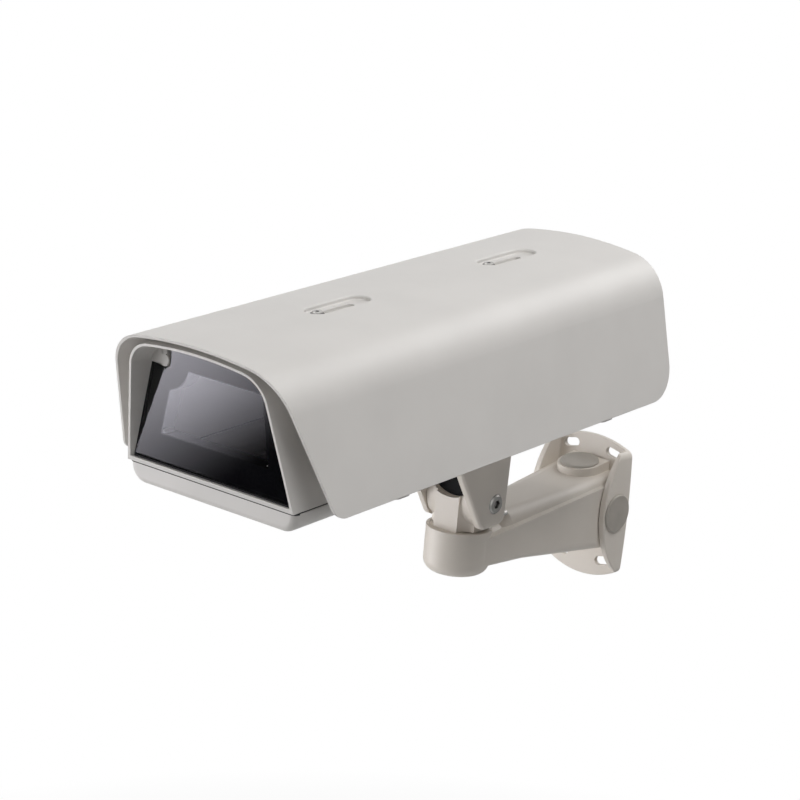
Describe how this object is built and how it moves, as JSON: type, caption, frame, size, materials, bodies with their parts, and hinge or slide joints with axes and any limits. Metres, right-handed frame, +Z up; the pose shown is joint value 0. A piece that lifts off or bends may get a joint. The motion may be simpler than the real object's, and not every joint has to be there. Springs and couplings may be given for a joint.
{
  "type": "security camera housing",
  "caption": "Camera housing with a bent sunshield, a hinged cover, a hooded front window and a hollow wall arm that pans and tilts.",
  "frame": {"origin": "middle of the four-slot pattern on the back of the wall plate", "axes": "+X to the right as seen from in front of the window, +Y into the wall, +Z up"},
  "size_m": [0.1954, 0.468, 0.2788],
  "materials": {
    "shield_paint": "fine satin powder coat, light warm grey",
    "housing_paint": "fine satin powder coat, light warm grey",
    "bracket_paint": "fine grained powder coat, warm light grey",
    "plug_plastic": "moulded grey plastic",
    "gland_plastic": "moulded grey polyamide",
    "black_rubber": "matt black rubber",
    "steel": "stainless steel",
    "window_glass": "clear toughened glass",
    "board": "solder-masked circuit board",
    "block_plastic": "moulded green plastic",
    "fan_plastic": "moulded black plastic",
    "bare_aluminium": "bare sheet and extruded aluminium"
  },
  "bodies": {
    "bracket": {"wall_arm": "bracket_paint", "top_plug": "plug_plastic", "side_plugs": "plug_plastic", "cup_plug": "plug_plastic"},
    "knuckle": {"knuckle": "bracket_paint", "retaining_ring": "steel", "cable_boot": "black_rubber"},
    "housing": {"yoke": "bracket_paint", "tilt_bolts": "steel", "tilt_lock_screw": "steel", "yoke_screws": "steel", "tray": "housing_paint", "cable_glands": "gland_plastic", "gland_caps": "gland_plastic", "gland_plugs": "black_rubber", "gland_nuts": "gland_plastic", "hinge_pins": "steel", "seam_gasket": "black_rubber", "cover_bolts": "steel", "thumb_screws": "steel", "circuit_board": "board", "board_screws": "steel", "terminal_blocks": "block_plastic", "fan_frame": "fan_plastic", "window_heater": "bare_aluminium"},
    "cover": {"cover": "housing_paint", "window_gasket": "black_rubber", "window_glass": "window_glass", "shield_screws": "steel", "shield_washers": "steel"},
    "shield": {"sunshield": "shield_paint"},
    "sled": {"camera_sled": "bare_aluminium"},
    "fan": {"fan_rotor": "fan_plastic"}
  },
  "joints": [
    {"name": "pan", "type": "hinge", "parent": "bracket", "child": "knuckle", "pos_m": [0, -0.168, 0], "axis": [0, 0, 1], "range_deg": [-90, 90]},
    {"name": "tilt", "type": "hinge", "parent": "knuckle", "child": "housing", "pos_m": [0, -0.163, 0.0335], "axis": [1, 0, 0], "range_deg": [-14, 55]},
    {"name": "cover_hinge", "type": "hinge", "parent": "housing", "child": "cover", "pos_m": [-0.0816, -0.23361, 0.10518], "axis": [0, -0.9972, -0.0754], "range_deg": [0, 90]},
    {"name": "shield_slide", "type": "slide", "parent": "cover", "child": "shield", "axis": [0, -0.9972, -0.0754], "range_m": [0, 0.034]},
    {"name": "sled_slide", "type": "slide", "parent": "housing", "child": "sled", "axis": [0, -0.9972, -0.0754], "range_m": [-0.012, 0.012]},
    {"name": "fan_spin", "type": "hinge", "parent": "housing", "child": "fan", "pos_m": [0, -0.0966, 0.12346], "axis": [0, 0.9972, 0.0754], "continuous": true}
  ]
}
